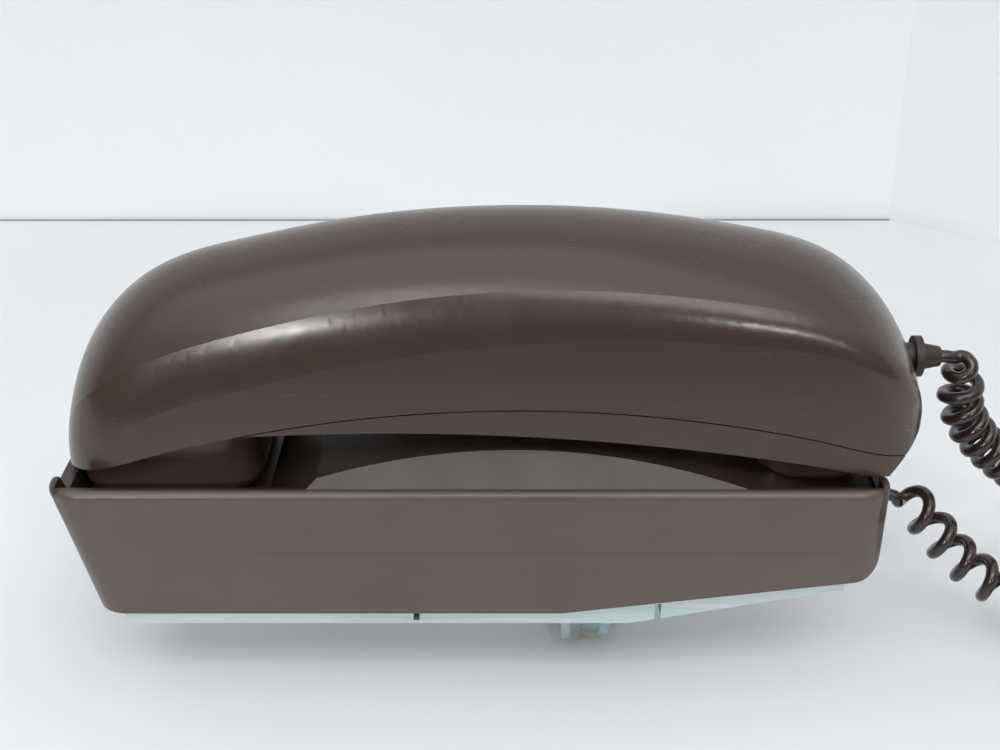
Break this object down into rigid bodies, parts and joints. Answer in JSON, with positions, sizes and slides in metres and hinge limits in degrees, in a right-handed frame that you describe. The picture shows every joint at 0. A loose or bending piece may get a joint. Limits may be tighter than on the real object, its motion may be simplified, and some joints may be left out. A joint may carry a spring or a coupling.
{
  "type": "wall telephone",
  "caption": "Slimline wall phone: keypad handset resting on a shallow base with hook plunger, ringer, curly cord, keyhole wall plate and line plug.",
  "frame": {"origin": "midway between the two wall studs, on the wall face of the wall plate", "axes": "+X down the phone, from the ear end to the cord end; +Z away from the wall, so the phone lies on its back; +Y to the phone's left side as one faces it on the wall"},
  "size_m": [0.3341, 0.0742, 0.1246],
  "materials": {
    "brown_shell": "satin gloss",
    "brown_plastic": "satin",
    "zinc_plate": "zinc plated",
    "steel": "plain",
    "bright_steel": "polished",
    "clear_plastic": "clear, a little blue",
    "plug_plastic": "clear, a little yellow",
    "gold": "gold plated",
    "brass": "plain",
    "copper_coil": "lacquered wire under tape",
    "board": "plain laminate",
    "black_parts": "matt",
    "grey_rubber": "matt",
    "black_rubber": "satin",
    "cord_jacket": "satin",
    "paper": "matt",
    "clear_window": "clear"
  },
  "bodies": {
    "base": {"base_housing": "brown_shell", "wall_plate": "zinc_plate", "plate_screws": "steel", "plug_carrier": "clear_plastic", "modular_plug": "plug_plastic", "plug_contacts": "gold", "hook_switch_frame": "black_parts", "hook_contacts": "brass", "ringer_frame": "steel", "ringer_coil": "copper_coil", "ringer_core": "steel", "gong": "bright_steel", "gong_screw": "steel", "network_board": "board", "network_transformer": "black_parts", "network_capacitors": "brown_plastic", "terminal_screws": "brass", "board_screws": "steel", "base_cord_grommet": "black_rubber", "handset_cord": "cord_jacket"},
    "handset": {"handset_back": "brown_shell", "handset_face": "brown_shell", "keypad_board": "board", "key_mat": "grey_rubber", "card_window": "clear_window", "number_card": "paper", "receiver": "black_parts", "receiver_ring": "black_rubber", "transmitter": "black_parts", "handset_screws": "steel", "handset_cord_grommet": "black_rubber"},
    "hook": {"hook_plunger": "brown_plastic"},
    "clapper": {"clapper": "steel"},
    "volume": {"volume_lever": "brown_plastic"},
    "key_1": {"key_1": "brown_plastic"},
    "key_2": {"key_2": "brown_plastic"},
    "key_3": {"key_3": "brown_plastic"},
    "key_4": {"key_4": "brown_plastic"},
    "key_5": {"key_5": "brown_plastic"},
    "key_6": {"key_6": "brown_plastic"},
    "key_7": {"key_7": "brown_plastic"},
    "key_8": {"key_8": "brown_plastic"},
    "key_9": {"key_9": "brown_plastic"},
    "key_star": {"key_star": "brown_plastic"},
    "key_0": {"key_0": "brown_plastic"},
    "key_hash": {"key_hash": "brown_plastic"},
    "recall": {"recall_button": "brown_plastic"}
  },
  "joints": [
    {"name": "handset_lift", "type": "slide", "parent": "base", "child": "handset", "axis": [0, 0, 1], "range_m": [0, 0.06]},
    {"name": "hook_plunge", "type": "slide", "parent": "base", "child": "hook", "axis": [0, 0, 1], "range_m": [0, 0.0041]},
    {"name": "clapper_swing", "type": "hinge", "parent": "base", "child": "clapper", "pos_m": [-0.036, 0, 0.026], "axis": [0, 0, 1], "range_deg": [-6, 6]},
    {"name": "volume_slide", "type": "slide", "parent": "base", "child": "volume", "axis": [1, 0, 0], "range_m": [-0.003, 0.003]},
    {"name": "key_1_press", "type": "slide", "parent": "handset", "child": "key_1", "axis": [0, 0, 1], "range_m": [0, 0.0015], "stiffness_N_per_m": 250, "springref_m": -0.0004},
    {"name": "key_2_press", "type": "slide", "parent": "handset", "child": "key_2", "axis": [0, 0, 1], "range_m": [0, 0.0015], "stiffness_N_per_m": 250, "springref_m": -0.0004},
    {"name": "key_3_press", "type": "slide", "parent": "handset", "child": "key_3", "axis": [0, 0, 1], "range_m": [0, 0.0015], "stiffness_N_per_m": 250, "springref_m": -0.0004},
    {"name": "key_4_press", "type": "slide", "parent": "handset", "child": "key_4", "axis": [0, 0, 1], "range_m": [0, 0.0015], "stiffness_N_per_m": 250, "springref_m": -0.0004},
    {"name": "key_5_press", "type": "slide", "parent": "handset", "child": "key_5", "axis": [0, 0, 1], "range_m": [0, 0.0015], "stiffness_N_per_m": 250, "springref_m": -0.0004},
    {"name": "key_6_press", "type": "slide", "parent": "handset", "child": "key_6", "axis": [0, 0, 1], "range_m": [0, 0.0015], "stiffness_N_per_m": 250, "springref_m": -0.0004},
    {"name": "key_7_press", "type": "slide", "parent": "handset", "child": "key_7", "axis": [0, 0, 1], "range_m": [0, 0.0015], "stiffness_N_per_m": 250, "springref_m": -0.0004},
    {"name": "key_8_press", "type": "slide", "parent": "handset", "child": "key_8", "axis": [0, 0, 1], "range_m": [0, 0.0015], "stiffness_N_per_m": 250, "springref_m": -0.0004},
    {"name": "key_9_press", "type": "slide", "parent": "handset", "child": "key_9", "axis": [0, 0, 1], "range_m": [0, 0.0015], "stiffness_N_per_m": 250, "springref_m": -0.0004},
    {"name": "key_star_press", "type": "slide", "parent": "handset", "child": "key_star", "axis": [0, 0, 1], "range_m": [0, 0.0015], "stiffness_N_per_m": 250, "springref_m": -0.0004},
    {"name": "key_0_press", "type": "slide", "parent": "handset", "child": "key_0", "axis": [0, 0, 1], "range_m": [0, 0.0015], "stiffness_N_per_m": 250, "springref_m": -0.0004},
    {"name": "key_hash_press", "type": "slide", "parent": "handset", "child": "key_hash", "axis": [0, 0, 1], "range_m": [0, 0.0015], "stiffness_N_per_m": 250, "springref_m": -0.0004},
    {"name": "recall_press", "type": "slide", "parent": "handset", "child": "recall", "axis": [0, 0, 1], "range_m": [0, 0.0015], "stiffness_N_per_m": 250, "springref_m": -0.0004}
  ],
  "couplings": [
    {"joint": "hook_plunge", "follows": "handset_lift", "ratio": 0.066667}
  ]
}
